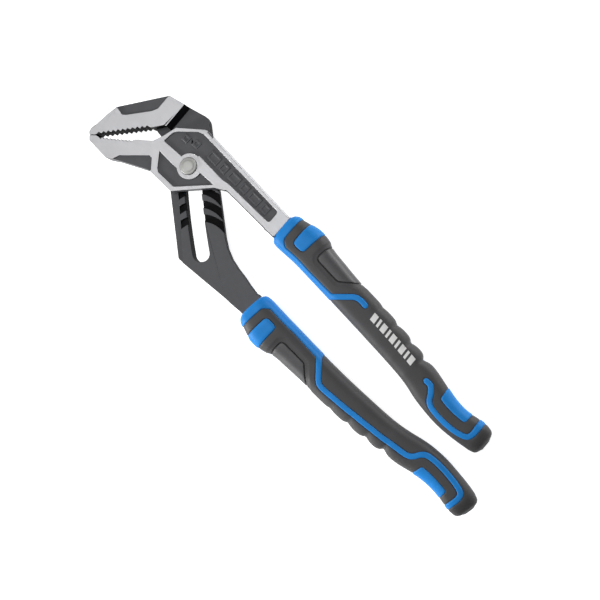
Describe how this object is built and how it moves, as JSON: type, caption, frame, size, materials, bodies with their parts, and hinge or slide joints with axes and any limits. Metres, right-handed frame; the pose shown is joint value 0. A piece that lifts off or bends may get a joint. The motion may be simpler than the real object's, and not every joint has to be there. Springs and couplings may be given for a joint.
{
  "type": "tongue and groove pliers",
  "caption": "Tongue and groove pliers with angled toothed jaws, a slotted arm with curved channels, and two-colour moulded grips.",
  "frame": {"origin": "middle of the tool's footprint at its lowest point, the back face of the pivot nut, with the tool lying flat", "axes": "+X along the tool from the jaws to the handles, +Y towards the front handle, +Z out of the front face"},
  "size_m": [0.3128, 0.0804, 0.019],
  "materials": {
    "blasted_steel": "bead-blasted satin",
    "dark_steel": "dark satin coating",
    "bolt_steel": "satin",
    "black_rubber": "fine matte grain",
    "grey_rubber": "fine matte grain",
    "core_plastic": "matte",
    "blue_plastic": "satin"
  },
  "bodies": {
    "front_half": {"lower_jaw_handle": "blasted_steel", "front_grip_core": "core_plastic", "front_grip_collar_stripe": "blue_plastic", "front_grip_sleeve": "black_rubber", "front_grip_button": "blue_plastic", "front_grip_thumb_pad": "grey_rubber", "front_grip_tail_patch": "blue_plastic"},
    "pivot": {"pivot_bolt": "bolt_steel", "pivot_washer": "bolt_steel", "pivot_nut": "bolt_steel"},
    "rear_half": {"upper_jaw_handle": "dark_steel", "rear_grip_core": "core_plastic", "rear_grip_collar_stripe": "blue_plastic", "rear_grip_sleeve": "black_rubber", "rear_grip_button": "blue_plastic", "rear_grip_thumb_pad": "grey_rubber", "rear_grip_tail_patch": "blue_plastic"}
  },
  "joints": [
    {"name": "handle_opening", "type": "hinge", "parent": "front_half", "child": "pivot", "pos_m": [-0.09557, 0.01195, 0.01], "axis": [0, 0, -1], "range_deg": [0, 48]},
    {"name": "channel_setting", "type": "hinge", "parent": "pivot", "child": "rear_half", "pos_m": [0.17672, 0.28092, 0.01], "axis": [0, 0, -1], "range_deg": [0, 7.5]}
  ]
}
